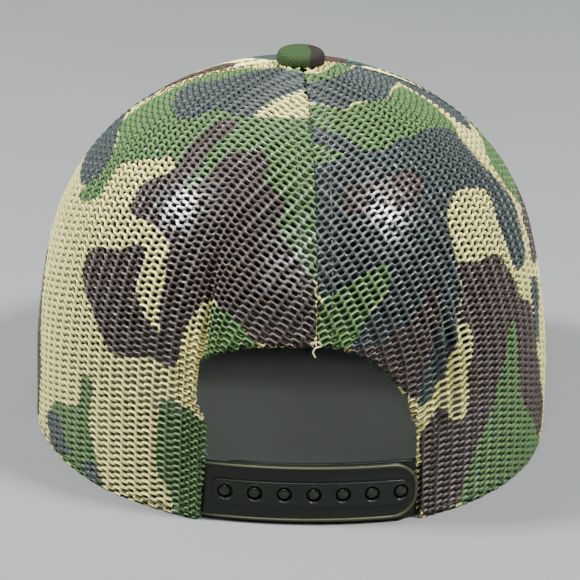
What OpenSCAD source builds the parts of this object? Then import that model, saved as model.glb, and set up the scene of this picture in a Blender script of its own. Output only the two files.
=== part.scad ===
// Trucker cap with a back of two mesh halves, a foam-backed front, a curved visor
// and a two-strap plastic snap closure. Millimetres, +Z up. The visor points
// along -Y, the closure faces +Y and the wearer's left is +X. The origin is the
// centre of the head opening, in the plane of the hem.

/* [Crown] */
// Half width of the head opening, side to side
crown_half_w = 89; // [85:0.5:93]
// Half length of the head opening, front to back
crown_half_l = 94; // [90:0.5:98]
// Height of the crown above the hem
crown_h = 129; // [120:0.5:136]
// How squarely the wall turns over into the top
crown_turn = 3.7; // [3:0.1:4.2]
// Fullness of the shoulder at the sides
side_full = 1.6; // [1.5:0.05:2]
// Fullness of the shoulder at the back
back_full = 2.05; // [1.8:0.05:2.3]
// Fullness of the shoulder at the front
front_full = 1.45; // [1.4:0.05:1.8]
// How far the top sits forward of the middle of the hem
apex_forward = 2; // [0:0.5:4]

/* [Fabrics] */
// Thickness of the knitted mesh
mesh_t = 1; // [0.8:0.1:1.1]
// Thickness of the woven twill
twill_t = 0.8; // [0.6:0.1:0.9]
// Thickness of the foam behind the front panel
foam_t = 1.8; // [1.4:0.1:1.8]
// Width of the tapes over the seams
tape_w = 13; // [10:0.5:14]
// Thickness of the tapes over the seams
tape_t = 0.45; // [0.3:0.05:0.5]
// Height of the sweatband
band_h = 32; // [26:1:36]

/* [Seams] */
// Bearing of the two front seams, from straight behind
seam_front = 108; // [104:1:112]

/* [Rear opening] */
// Height of the top of the arch above the hem
arch_top = 63; // [60:0.5:66]
// Height of the square corner of the arch, on the left
arch_corner_left = 55; // [53:0.5:57]
// Height of the springing of the arch on the right
arch_spring = 24; // [22:0.5:26]
// Bearing of the arch's edge at the hem
arch_foot = 24; // [23.8:0.1:24.4]
// Bearing of the arch's edge at its narrowest
arch_waist = 22.6; // [22.4:0.1:23]
// Height of the narrowest place of the arch
arch_waist_z = 32; // [30:0.5:34]

/* [Closure] */
// Height of the plastic straps
strap_w = 20; // [18:0.5:20]
// Height of the straps' lower edge above the hem
strap_z = 1; // [1:0.5:2]
// Thickness of the strap with holes, at its rim and rib
hole_strap_t = 1.7; // [1.6:0.1:1.8]
// Thickness of the strap with pegs
peg_strap_t = 1.2; // [1:0.1:1.3]
// Depth of the two fields beside the rib
field_depth = 0.6; // [0.4:0.1:0.7]
// Width of the raised rim
rim_w = 1.4; // [1.2:0.1:2]
// Height of the rib that holds the holes
rib_w = 8; // [7.4:0.2:9]
// Number of holes and of pegs
snap_count = 7; // [5:1:7]
// Distance between holes
snap_pitch = 9.5; // [9:0.1:9.5]
// Radius of a hole
hole_r = 2.7; // [2.6:0.05:2.8]
// Radius of a peg
peg_r = 1.95; // [1.8:0.05:2]
// Radius of the curve that the straps are moulded to
strap_curve = 138; // [130:1:150]

/* [Visor] */
// Rise of the visor's middle above its side edges
visor_rise = 16; // [12:1:20]
// Half width at which the visor comes down to the hem plane
visor_half_w = 85; // [84.5:0.5:88]
// How far the visor reaches in front of its corners
visor_reach = 118; // [105:1:125]
// Half bearing that the visor spans on the crown
visor_span = 62; // [58:1:64]
// Thickness of the visor board
board_t = 1.8; // [1.4:0.1:2.2]
// Thickness of each visor cover
cover_t = 0.7; // [0.5:0.1:0.9]

/* [Button] */
// Radius of the covered button
button_r = 8.2; // [7.6:0.1:8.6]
// Height of the covered button
button_h = 4.4; // [3.8:0.1:5]

/* [Hidden] */

// Gap between neighbouring panels along a seam, in degrees of bearing
seam_gap = 0.12;
// Clear gap between one layer of cloth and the next
layer_gap = 0.35;
// Depth of each layer below the outer surface of the crown
tape_d = mesh_t + layer_gap;
foam_d = twill_t + layer_gap;
liner_t = 0.7;
liner_d = foam_d + foam_t + layer_gap;
band_t = 0.8;
band_d = liner_d + liner_t + 0.25;
label_t = 0.4;
label_d = band_d + band_t + 0.25;
// Radius of the hole left at the top of the panels for the button's post
eyelet_r = 2.6;
// Radius at which the tapes and the foam stop short of the top
tape_stop_r = 9;
foam_stop_r = 14;
// The right of the arch is a quarter of an ellipse up to this angle of it
corner_angle = 69;
arch_half = 23;
corner_left = [25.4, arch_corner_left];
corner_right = [arch_half * sin(corner_angle),
    arch_spring + (arch_top - arch_spring) * cos(corner_angle)];
// Bearing, at the top, of the facets that rise from the arch's corners
fan = 32;
// Rows of facets below and above the corner of the arch
rows_low = 6;
rows_high = 15;

// --- crown surface ---------------------------------------------------------
function mix(a, b, t) = a + (b - a) * t;
function clamp01(t) = max(0, min(1, t));
function smooth(t) = let (c = clamp01(t)) c * c * (3 - 2 * c);
function fullness(phi) = side_full
    + (back_full - side_full) * pow(max(0, cos(phi)), 2)
    + (front_full - side_full) * pow(max(0, -cos(phi)), 2);
// A point of the crown at bearing phi and height z, d below the outer surface
function crown_pt(phi, z, d) =
    let (up = z / crown_h,
         out = pow(max(0, 1 - pow(up, crown_turn)), 1 / fullness(phi)))
    [(crown_half_w - d) * out * sin(phi),
     (crown_half_l - d) * out * cos(phi) - apex_forward * pow(up, 1.5),
     (crown_h - d) * up];
function turn_of(z) = asin(z / crown_h);
function z_of(turn) = crown_h * sin(turn);
function z_at_radius(phi, r) =
    crown_h * pow(1 - pow(r / crown_half_w, fullness(phi)), 1 / crown_turn);
function radius_at(phi, z) =
    crown_half_w * pow(1 - pow(z / crown_h, crown_turn), 1 / fullness(phi));

// Height of the visor's underside above the hem plane
function visor_z(x, y) = visor_rise * (1 - pow(x / visor_half_w, 2))
    * (1 - 0.35 * clamp01((-y - 44) / visor_reach));
// Height of the crown's lower edge, which rises over the visor
function hem_z(phi) = cos(phi) < 0
    ? max(0, visor_z(crown_half_w * sin(phi), crown_half_l * cos(phi))) : 0;

// Bearing of the arch's side at each height, and of the facets above its corner
function foot_edge(z) = mix(arch_foot, arch_waist, clamp01(z / arch_waist_z));
function edge_left(z) = z < arch_corner_left
    ? mix(foot_edge(z), corner_left[0], smooth((z - arch_waist_z) / 12))
    : mix(corner_left[0], fan, smooth((z - corner_left[1]) / 60));
function edge_right(z) = z < corner_right[1]
    ? mix(foot_edge(z), corner_right[0],
          smooth((z - arch_waist_z) / (corner_right[1] - arch_waist_z)))
    : mix(corner_right[0], fan, smooth((z - corner_right[1]) / 60));
// Top of the arch, for s from its middle to its corner
function arch_left(s) = [s * corner_left[0],
    arch_top - (arch_top - corner_left[1]) * pow(s, 3)];
function arch_right(s) = [arch_half * sin(corner_angle * s),
    arch_spring + (arch_top - arch_spring) * cos(corner_angle * s)];

// --- faceted shells --------------------------------------------------------
// A closed shell over a grid of [bearing, height], from depth d_out to d_in,
// without the cells that are before column cut[0] and below row cut[1]
module shell(grid, d_out, d_in, cut = [0, 0]) {
    outer = [for (col = grid) [for (p = col) crown_pt(p[0], p[1], d_out)]];
    inner = [for (col = grid) [for (p = col) crown_pt(p[0], p[1], d_in)]];
    slab(outer, inner, cut);
}

// A closed solid between two grids of points with the same number of cells
module slab(outer, inner, cut = [0, 0]) {
    nc = len(outer);
    nr = len(outer[0]);
    n = nc * nr;
    points = concat([for (col = outer) each col], [for (col = inner) each col]);
    function quad(a, b, c, d) = [[a, b, c], [a, c, d]];
    function full(i, j) = i >= 0 && j >= 0 && i < nc - 1 && j < nr - 1
        && !(i < cut[0] && j < cut[1]);
    faces = [for (i = [0:nc - 2]) for (j = [0:nr - 2]) if (full(i, j))
        let (a = i * nr + j, b = a + nr, c = b + 1, d = a + 1) each concat(
            quad(a, b, c, d),
            quad(a + n, d + n, c + n, b + n),
            full(i, j - 1) ? [] : quad(b, a, a + n, b + n),
            full(i, j + 1) ? [] : quad(d, c, c + n, d + n),
            full(i - 1, j) ? [] : quad(a, d, d + n, a + n),
            full(i + 1, j) ? [] : quad(c, b, b + n, c + n))];
    polyhedron(points, faces);
}

function grid(cols, rows, at) =
    [for (i = [0:cols]) [for (j = [0:rows]) at(i / cols, j / rows)]];

// Grid of one mesh half. The first columns, from the back seam to the corner,
// stop at the arch, and the others go down to the hem
over_cols = 7;
side_cols = 16;
function mesh_grid(side) =
    let (corner = side > 0 ? corner_left : corner_right,
         edge = side > 0 ? function(z) edge_left(z) : function(z) edge_right(z),
         fan_turn = turn_of(z_at_radius(fan, eyelet_r)))
    [for (i = [0:over_cols + side_cols]) let (
        over = i < over_cols,
        s = over ? i / over_cols : (i - over_cols) / side_cols,
        foot = over ? (side > 0 ? arch_left(s) : arch_right(s)) : corner,
        top_phi = over ? mix(0, fan, s) : mix(fan, seam_front, s),
        top_turn = turn_of(z_at_radius(top_phi, eyelet_r)),
        low = hem_z(mix(edge(0), seam_front, s)),
        share = foot[0] / edge(foot[1]))
      [for (j = [0:rows_low + rows_high]) let (
          t = clamp01((j - rows_low) / rows_high),
          z = j < rows_low ? (over ? foot[1] : mix(low, foot[1], j / rows_low))
              : z_of(mix(turn_of(foot[1]), top_turn, t)),
          phi = over ? mix(seam_gap, edge(z), mix(share, s, t))
              : mix(edge(z), seam_front - seam_gap, s))
        [side * phi, z]]];

// A strip of tape centred on a seam, given the seam's bearing at each height
module tape(seam, low, depth) {
    half = tape_w / 2;
    top = z_at_radius(seam(crown_h), tape_stop_r);
    strip = [for (s = [-1:0.5:1]) [for (j = [0:rows_high]) let (
        z = z_of(mix(turn_of(low), turn_of(top), j / rows_high)),
        spread = half / radius_at(seam(z), z) * 180 / PI)
        [seam(z) + s * spread, z]]];
    shell(strip, depth, depth + tape_t);
}

// A band inside the hem between two bearings, between two heights above it
module band(from, to, cols, low, high, depth, thickness) {
    shell(grid(cols, 3, function(s, t) let (phi = mix(from, to, s))
        [phi, hem_z(phi) + mix(low, high, t)]), depth, depth + thickness);
}

// --- crown -----------------------------------------------------------------
olive = [0.28, 0.4, 0.2];
tan_cloth = [0.88, 0.84, 0.66];
charcoal = [0.2, 0.22, 0.23];
brown = [0.3, 0.23, 0.2];
strap_green = [0.17, 0.2, 0.16];

module front_panel() {
    color(olive)
        shell([for (i = [0:24]) let (phi = mix(seam_front, 360 - seam_front, i / 24))
            let (edge = phi + (i == 0 ? seam_gap : i == 24 ? -seam_gap : 0))
            [for (j = [0:20]) [edge, z_of(mix(turn_of(hem_z(phi)),
                turn_of(z_at_radius(phi, eyelet_r)), j / 20))]]], 0, twill_t);
}

// The foam stops short of the front seams and of the top
module front_foam() {
    inset = tape_w / 2 + 1.5;
    color(charcoal)
        shell([for (i = [0:20]) [for (j = [0:16]) let (
            start = mix(seam_front, 360 - seam_front, i / 20),
            z = z_of(mix(turn_of(hem_z(start) + 4),
                turn_of(z_at_radius(start, foam_stop_r)), j / 16)),
            trim = inset / radius_at(start, z) * 180 / PI)
            [mix(seam_front + trim, 360 - seam_front - trim, i / 20), z]]],
            foam_d, foam_d + foam_t);
}

module mesh_panel_left() {
    color(tan_cloth) shell(mesh_grid(1), 0, mesh_t, [over_cols, rows_low]);
}

// Its grid runs the other way round, so its two faces are given the other way
module mesh_panel_right() {
    color(brown) shell(mesh_grid(-1), mesh_t, 0, [over_cols, rows_low]);
}

module seam_tape_back() {
    color(charcoal) tape(function(z) 0, arch_top + 1.5, tape_d);
}

module seam_tape_front_left() {
    color(charcoal) tape(function(z) seam_front, band_h + 6, tape_d);
}

module seam_tape_front_right() {
    color(charcoal) tape(function(z) -seam_front, band_h + 6, tape_d);
}

// --- sweatband -------------------------------------------------------------
// The band runs round the front from one side of the arch to the other
band_from = arch_foot + 2;
band_low = 2;

module sweatband_liner() {
    color(charcoal) band(band_from, 360 - band_from, 56,
        band_low + 1, band_h, liner_d, liner_t);
}

module sweatband() {
    color([0.25, 0.27, 0.25]) band(band_from, 360 - band_from, 56,
        band_low, band_low + band_h, band_d, band_t);
}

module size_label() {
    color([0.85, 0.85, 0.82]) band(52, 64, 3, 8, 30, label_d, label_t);
}

// --- button ----------------------------------------------------------------
// Profile of a low dome of radius r and height h, from its rim to its middle
function dome(r, h, steps) =
    [for (i = [0:steps]) let (a = 90 * i / steps)
        [r * pow(cos(a), 0.7), h * pow(sin(a), 0.8)]];

module at_apex() {
    translate([0, -apex_forward, crown_h + 0.05]) children();
}

module dome_shell(r, h, t, lip) {
    outer = dome(r, h, 14);
    inner = dome(r - t, h - t, 14);
    rotate_extrude($fn = 64)
        polygon(concat([[0, h]], [for (i = [13:-1:0]) outer[i]],
            [[r - lip, 0], [r - lip, 0.3], [r - t, 0.3]],
            [for (i = [1:13]) inner[i]], [[0, h - t]]));
}

module button_shell() {
    cover = 0.5;
    color("silver") at_apex() translate([0, 0, 0.4])
        dome_shell(button_r - cover, button_h - cover - 0.45, 0.5, 0.9);
}

module button_cover() {
    color(olive) at_apex() dome_shell(button_r, button_h, 0.4, 2.2);
}

module button_post() {
    stem_r = 2;
    color("silver") translate([0, -apex_forward, 0]) rotate_extrude($fn = 48)
        polygon([[0, crown_h + 2.2], [4.5, crown_h + 2.2], [4.5, crown_h + 1.6],
            [stem_r, crown_h + 1.6], [stem_r, crown_h - 2.3],
            [3.4, crown_h - 2.3], [3.4, crown_h - 2.8], [0, crown_h - 2.8]]);
}

module button_washer() {
    color("silver") translate([0, -apex_forward, crown_h - 2.2]) difference() {
        cylinder(r = 6.5, h = 0.6, $fn = 48);
        translate([0, 0, -1]) cylinder(r = 2.1, h = 3, $fn = 48);
    }
}

// --- visor -----------------------------------------------------------------
// Plan of the visor: u runs across it from -1 to 1 and v out from the crown
function visor_root(u) = let (phi = 180 - visor_span * u)
    [(crown_half_w + 0.4) * sin(phi), (crown_half_l + 0.4) * cos(phi)];
function visor_rim(u, inset) = let (a = 80 * u, k = 2 / 2.4)
    [(visor_half_w - 0.6 - inset) * sign(u) * pow(abs(sin(a)), k),
     -44 - (visor_reach - inset) * pow(cos(a), k)];
function visor_xy(u, v, inset) =
    mix(visor_root(u * (1 - inset / 90)), visor_rim(u, inset), v);

// A layer of the visor between heights low and high above its underside
module visor_layer(vs, inset, low, high) {
    us = [for (i = [-14:14]) i / 14];
    function sheet(at) = [for (u = us) [for (v = vs)
        let (p = visor_xy(u, v, inset)) [p[0], p[1], visor_z(p[0], p[1]) + at(v)]]];
    slab(sheet(high), sheet(low));
}

cover_gap = 0.1;
board_z = cover_t + cover_gap;
top_z = board_z + board_t + cover_gap;
hem_v = 0.985;

module visor_board() {
    color("white") visor_layer([for (j = [0:6]) j / 6], 1.3,
        function(v) board_z, function(v) board_z + board_t);
}

// The top cover turns down round the board's edge
module visor_top_cover() {
    color(olive) visor_layer(concat([for (j = [0:6]) j / 6 * hem_v],
        [hem_v + 0.002, 1]), 0,
        function(v) v > hem_v ? board_z : top_z, function(v) top_z + cover_t);
}

module visor_under_cover() {
    color(olive) visor_layer([for (j = [0:6]) j / 6], 0,
        function(v) 0, function(v) cover_t);
}

// --- snap closure ----------------------------------------------------------
// The straps are arcs about one vertical axis. The strap with holes lies
// outside the strap with pegs, and hinges at its left end, the other at its right
strap_gap = 0.3;
peg_mid = strap_curve;
hole_mid = peg_mid + peg_strap_t / 2 + strap_gap + hole_strap_t / 2;
curve_x = -3.5;
hole_hinge = [33.8, 84.4];
peg_hinge_x = -34.4;
curve_y = hole_hinge[1] - sqrt(pow(hole_mid, 2) - pow(hole_hinge[0] - curve_x, 2));
peg_hinge = [peg_hinge_x,
    curve_y + sqrt(pow(peg_mid, 2) - pow(peg_hinge_x - curve_x, 2))];
hole_end_x = -34.6;
peg_end_x = 32;
// Position of the middle hole along X
snap_x = -0.8;
// Play round each living hinge
hinge_gap = 0.3;
// How far the rib goes on past the centres of the last hole and the first
rib_end = 3.6;
rib_start = 4.1;
// The rolled end of a strap is this much thinner than the strap, each side
hinge_step = 0.05;
root_end = 36;
root_t = 1.4;
root_d = mesh_t + 0.45;
snap_z = strap_z + strap_w / 2;

function bearing_on(r, x) = asin((x - curve_x) / r);

// A ring sector about the straps' axis between two X positions
module strap_arc(r_in, r_out, x_from, x_to, z_from, z_to) {
    mid = (r_in + r_out) / 2;
    a = bearing_on(mid, x_from);
    b = bearing_on(mid, x_to);
    translate([curve_x, curve_y, 0]) rotate([0, 0, 90 - b])
        rotate_extrude(angle = b - a, $fn = 720)
            translate([r_in, z_from]) square([r_out - r_in, z_to - z_from]);
}

// Places children at X = x on radius r, with their +Z pointing outwards
module on_strap(r, x) {
    a = bearing_on(r, x);
    translate([curve_x + r * sin(a), curve_y + r * cos(a), snap_z])
        rotate([-90, 0, -a]) children();
}

// A plate in the XZ plane with a round end at x_end and a square one at x_root
module end_plate(x_end, x_root, low, high, r) {
    dir = sign(x_root - x_end);
    translate([0, 150, 0]) rotate([90, 0, 0]) linear_extrude(150) {
        for (z = [low + r, high - r]) translate([x_end + dir * r, z])
            circle(r = r, $fn = 48);
        translate([dir > 0 ? x_end : x_end - r, low + r])
            square([r, high - low - 2 * r]);
        translate([min(x_end + dir * r, x_root), low])
            square([abs(x_root - x_end) - r, high - low]);
    }
}

module hole_strap() {
    z0 = strap_z;
    z1 = strap_z + strap_w;
    r0 = hole_mid - hole_strap_t / 2;
    r1 = hole_mid + hole_strap_t / 2;
    last = snap_x - snap_pitch * (snap_count - 1) / 2;
    first = snap_x + snap_pitch * (snap_count - 1) / 2;
    color(strap_green) difference() {
        union() {
            intersection() {
                strap_arc(r0, r1, hole_end_x - 2, hole_hinge[0], z0, z1);
                end_plate(hole_end_x, 40, z0, z1, 8.5);
            }
            translate([hole_hinge[0], hole_hinge[1], z0])
                cylinder(r = hole_strap_t / 2 - hinge_step, h = strap_w, $fn = 32);
        }
        // two sunk fields, one each side of the rib and joined round its end
        intersection() {
            strap_arc(r1 - field_depth, r1 + 2, hole_end_x - 2, 32, z0, z1);
            difference() {
                end_plate(hole_end_x + rim_w, 32, z0 + rim_w, z1 - rim_w, 6.5);
                translate([0, 1, 0]) end_plate(last - rib_end, first + rib_start,
                    snap_z - rib_w / 2, snap_z + rib_w / 2, rib_w / 2 - 0.1);
            }
        }
        for (i = [0:snap_count - 1])
            on_strap(hole_mid, last + i * snap_pitch)
                cylinder(r = hole_r, h = 6, center = true, $fn = 48);
    }
}

// A peg with a low domed head, standing on the plane z = 0
module peg() {
    neck = 1.1;
    head = 0.8;
    rotate_extrude($fn = 40)
        polygon(concat([[0, -0.5], [peg_r, -0.5], [peg_r, neck]],
            [for (i = [1:6]) let (a = 15 * i)
                [peg_r * cos(a), neck + head * sin(a)]]));
}

module peg_strap() {
    z0 = strap_z;
    z1 = strap_z + strap_w;
    last = snap_x - snap_pitch * (snap_count - 1) / 2;
    color(strap_green) union() {
        intersection() {
            strap_arc(peg_mid - peg_strap_t / 2, peg_mid + peg_strap_t / 2,
                peg_hinge_x, peg_end_x + 2, z0, z1);
            end_plate(peg_end_x, -40, z0, z1, 8.5);
        }
        translate([peg_hinge[0], peg_hinge[1], z0])
            cylinder(r = peg_strap_t / 2 - hinge_step, h = strap_w, $fn = 32);
        for (i = [0:snap_count - 1])
            on_strap(peg_mid + peg_strap_t / 2, last + i * snap_pitch) peg();
    }
}

// The sewn end of a strap, which follows the inside of the crown. It is an arc
// about the crown's own centre of curvature near the side of the arch
module strap_root(side, hinge, t) {
    at = 30;
    w2 = pow(crown_half_w, 2);
    l2 = pow(crown_half_l, 2);
    cx = side * (w2 - l2) / crown_half_w * pow(sin(at), 3);
    cy = (l2 - w2) / crown_half_l * pow(cos(at), 3);
    r = pow(w2 * pow(cos(at), 2) + l2 * pow(sin(at), 2), 1.5)
        / (crown_half_w * crown_half_l) - root_d;
    start = atan2(side * (hinge[0] - cx), hinge[1] - cy);
    color(strap_green) difference() {
        translate([cx, cy, 0])
            rotate([0, 0, side > 0 ? 90 - root_end : 90 + start])
                rotate_extrude(angle = root_end - start, $fn = 360)
                    translate([r - root_t, strap_z]) square([root_t, strap_w]);
        translate([hinge[0], hinge[1], 0])
            cylinder(r = t / 2 + hinge_gap, h = strap_w + 4, $fn = 32);
    }
}

module hole_strap_root() {
    strap_root(1, hole_hinge, hole_strap_t);
}

module peg_strap_root() {
    strap_root(-1, peg_hinge, peg_strap_t);
}

front_panel();
front_foam();
mesh_panel_left();
mesh_panel_right();
seam_tape_back();
seam_tape_front_left();
seam_tape_front_right();
sweatband_liner();
sweatband();
size_label();
button_shell();
button_cover();
button_post();
button_washer();
visor_board();
visor_top_cover();
visor_under_cover();
hole_strap();
hole_strap_root();
peg_strap();
peg_strap_root();
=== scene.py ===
"""Trucker mesh cap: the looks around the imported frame.

Lengths are in millimetres until MM turns them into metres."""

import math

import bmesh
import bpy
import numpy as np
from mathutils import Matrix, Vector


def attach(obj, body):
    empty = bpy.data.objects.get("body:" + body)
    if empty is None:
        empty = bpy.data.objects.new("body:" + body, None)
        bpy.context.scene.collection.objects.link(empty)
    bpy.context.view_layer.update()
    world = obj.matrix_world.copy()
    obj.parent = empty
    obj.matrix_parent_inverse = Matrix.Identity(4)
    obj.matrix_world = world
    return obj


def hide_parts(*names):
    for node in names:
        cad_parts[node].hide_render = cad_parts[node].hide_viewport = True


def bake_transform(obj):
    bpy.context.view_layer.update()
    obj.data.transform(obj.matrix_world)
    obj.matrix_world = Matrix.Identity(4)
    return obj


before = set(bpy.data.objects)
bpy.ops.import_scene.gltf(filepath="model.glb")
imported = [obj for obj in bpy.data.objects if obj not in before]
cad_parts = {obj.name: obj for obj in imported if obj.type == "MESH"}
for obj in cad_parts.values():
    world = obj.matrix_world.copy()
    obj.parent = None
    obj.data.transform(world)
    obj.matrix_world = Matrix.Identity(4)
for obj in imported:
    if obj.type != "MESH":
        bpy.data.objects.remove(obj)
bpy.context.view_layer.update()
MM = 0.001

# ---------------------------------------------------------------- crown shape
HALF_W, HALF_L, CROWN_H = 89.0, 94.0, 129.0
TURN = 3.7
SIDE_FULL, BACK_FULL, FRONT_FULL = 1.6, 2.05, 1.45
APEX_FORWARD = 2.0
SEAM_FRONT = 108.0
VISOR_HALF_W, VISOR_REACH, VISOR_CORNER_Y, VISOR_RISE, VISOR_SPAN = 85, 118, -44, 16, 62
DEG = math.pi / 180


def smooth(t):
    t = np.clip(t, 0, 1)
    return t * t * (3 - 2 * t)


def crown(phi, z, depth):
    """Points at bearing phi (degrees from +Y towards +X) and height z, depth below the outer surface."""
    phi, z, depth = np.broadcast_arrays(phi, z, depth)
    c, s = np.cos(phi * DEG), np.sin(phi * DEG)
    full = SIDE_FULL + np.where(c > 0, BACK_FULL - SIDE_FULL, FRONT_FULL - SIDE_FULL) * c * c
    up = np.clip(z / CROWN_H, 0, 1)
    out = (1 - up**TURN) ** (1 / full)
    x = (HALF_W - depth) * out * s
    y = (HALF_L - depth) * out * c - APEX_FORWARD * up**1.5
    return np.stack([x, y, (CROWN_H - depth) * up + np.minimum(z, 0)], -1)


def visor_z(x, y):
    """Height of the visor's underside above the hem's plane."""
    reach = np.clip((-y + VISOR_CORNER_Y) / VISOR_REACH, 0, 1)
    return VISOR_RISE * (1 - (x / VISOR_HALF_W) ** 2) * (1 - 0.35 * reach)


def hem_z(phi):
    c, s = np.cos(phi * DEG), np.sin(phi * DEG)
    return np.where(c < 0, np.maximum(0, visor_z(HALF_W * s, HALF_L * c)), 0.0)


# One meridian's profile, as a table of arc length, height and share of the full radius
MEAN_R = 92.0
_turn = np.linspace(0, math.pi / 2, 400)
_h = CROWN_H * np.sin(_turn)
_share = (1 - np.sin(_turn) ** TURN) ** (1 / 1.8)
_arc = np.concatenate([[0], np.cumsum(np.hypot(np.diff(_h), MEAN_R * np.diff(_share)))])


def height_at(arc):
    return np.where(arc < 0, arc, np.interp(arc, _arc, _h))


def arc_at(z):
    return np.interp(z, _h, _arc)


def share_at(arc):
    return np.interp(arc, _arc, _share)


def wobble(p, size, seed):
    """A smooth made-up noise from -1 to 1 over points p, with features of the given size."""
    waves = np.random.default_rng(seed).normal(size=(6, 4))
    total = 0
    for w in waves:
        total = total + np.sin((p @ w[:3]) * 2.2 / size + w[3] * 9)
    return total / 6


# ------------------------------------------------------------------ the arch
ARCH_TOP, ARCH_SPRING, ARCH_HALF, CORNER_ANGLE = 63.0, 24.0, 23.0, 69.0
ARCH_FOOT, ARCH_WAIST, WAIST_Z = 24.0, 22.6, 32.0
CORNER = {1: (25.4, 55.0), -1: (21.47, 37.98)}


def arch_side(side, z):
    """Bearing of the arch's side edge at height z, up to its corner."""
    foot = ARCH_FOOT + (ARCH_WAIST - ARCH_FOOT) * np.clip(z / WAIST_Z, 0, 1)
    rise = 12.0 if side > 0 else CORNER[-1][1] - WAIST_Z
    return foot + (CORNER[side][0] - foot) * smooth((z - WAIST_Z) / rise)


def arch_outline(side, n=160):
    """The opening's edge from the hem over its corner to the back seam, as bearings and heights."""
    z = np.linspace(-2, CORNER[side][1], n)
    s = np.linspace(1, 0, n)
    if side > 0:
        top = np.stack([s * CORNER[1][0], ARCH_TOP - (ARCH_TOP - CORNER[1][1]) * s**3], -1)
    else:
        a = CORNER_ANGLE * s * DEG
        top = np.stack([ARCH_HALF * np.sin(a), ARCH_SPRING + (ARCH_TOP - ARCH_SPRING) * np.cos(a)], -1)
    return np.concatenate([np.stack([arch_side(side, z), z], -1), top])


def arch_gap(side, phi, z):
    """Distance outside the opening's edge, negative inside the opening, and the edge's nearest point."""
    edge = arch_outline(side)
    flat = edge * [MEAN_R * DEG, 1]
    p = np.stack([phi * MEAN_R * DEG, z], -1)
    gap, near = np.empty(len(p)), np.empty((len(p), 2))
    for lo in range(0, len(p), 20000):
        d = np.linalg.norm(p[lo : lo + 20000, None] - flat[None], axis=2)
        k = d.argmin(1)
        gap[lo : lo + 20000], near[lo : lo + 20000] = d[np.arange(len(k)), k], edge[k]
    n = len(edge) // 2
    over = np.interp(phi, edge[n:, 0][::-1], edge[n:, 1][::-1])
    side_edge = arch_side(side, z)
    inside = np.where(z < CORNER[side][1], phi < side_edge, (z < over) & (phi < CORNER[side][0]))
    return np.where(inside, -gap, gap), near


# ------------------------------------------------------------------ materials
def srgb(r, g, b):
    return tuple(((c / 255 + 0.055) / 1.055) ** 2.4 if c > 10 else c / 3294 for c in (r, g, b)) + (1.0,)


TAN = srgb(242, 232, 144)
GREEN = srgb(72, 116, 46)
BROWN = srgb(60, 43, 34)
DARK = srgb(44, 60, 60)


class Nodes:
    """Short ways to add and join nodes of one new material."""

    def __init__(self, name, rough=0.6, **sockets):
        self.mat = bpy.data.materials.new(name)
        self.mat.use_nodes = True
        self.tree = self.mat.node_tree
        self.bsdf = self.tree.nodes["Principled BSDF"]
        self.bsdf.inputs["Roughness"].default_value = rough
        for key, value in sockets.items():
            self.bsdf.inputs[key.replace("_", " ")].default_value = value

    def add(self, kind, inputs=(), **props):
        node = self.tree.nodes.new("ShaderNode" + kind)
        for key, value in props.items():
            setattr(node, key, value)
        for key, value in dict(inputs).items():
            self.put(node.inputs[key], value)
        return node

    def put(self, socket, value):
        if hasattr(value, "is_output"):
            self.tree.links.new(value, socket)
        else:
            socket.default_value = value

    def math(self, op, *values):
        node = self.add("Math", operation=op)
        for i, v in enumerate(values):
            self.put(node.inputs[i], v)
        return node.outputs[0]

    def mix(self, factor, a, b):
        node = self.add("Mix", data_type="RGBA")
        self.put(node.inputs[0], factor)
        self.put(node.inputs[6], a)
        self.put(node.inputs[7], b)
        return node.outputs[2]

    def ramp(self, value, low, high):
        return self.add("MapRange", {0: value, 1: low, 2: high}).outputs[0]

    def attribute(self, name, output="Fac"):
        return self.add("Attribute", attribute_name=name).outputs[output]

    def noise(self, scale, detail=3.0, where=None):
        node = self.add("TexNoise", {"Scale": scale, "Detail": detail})
        self.put(node.inputs["Vector"], where or self.place())
        return node.outputs[0]

    def place(self):
        return self.add("TexCoord").outputs["Object"]

    def bump(self, height, distance, strength=1.0):
        node = self.add("Bump", {"Height": height, "Distance": distance, "Strength": strength})
        self.tree.links.new(node.outputs[0], self.bsdf.inputs["Normal"])

    def colour(self, value):
        self.put(self.bsdf.inputs["Base Color"], value)


def camo_colour(n):
    """Tan, with green, brown and dark where their printed fields are above zero, and a little uneven ink."""
    col = TAN
    for name, ink in (("camo_green", GREEN), ("camo_brown", BROWN), ("camo_dark", DARK)):
        inside = n.ramp(n.attribute(name), -0.12, 0.12)
        col = n.mix(inside, col, ink)
    uneven = n.ramp(n.noise(260.0, 4.0), 0.25, 0.75)
    return n.mix(n.math("MULTIPLY", uneven, 0.22), col, n.mix(0.5, col, (0.02, 0.02, 0.018, 1)))


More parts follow.
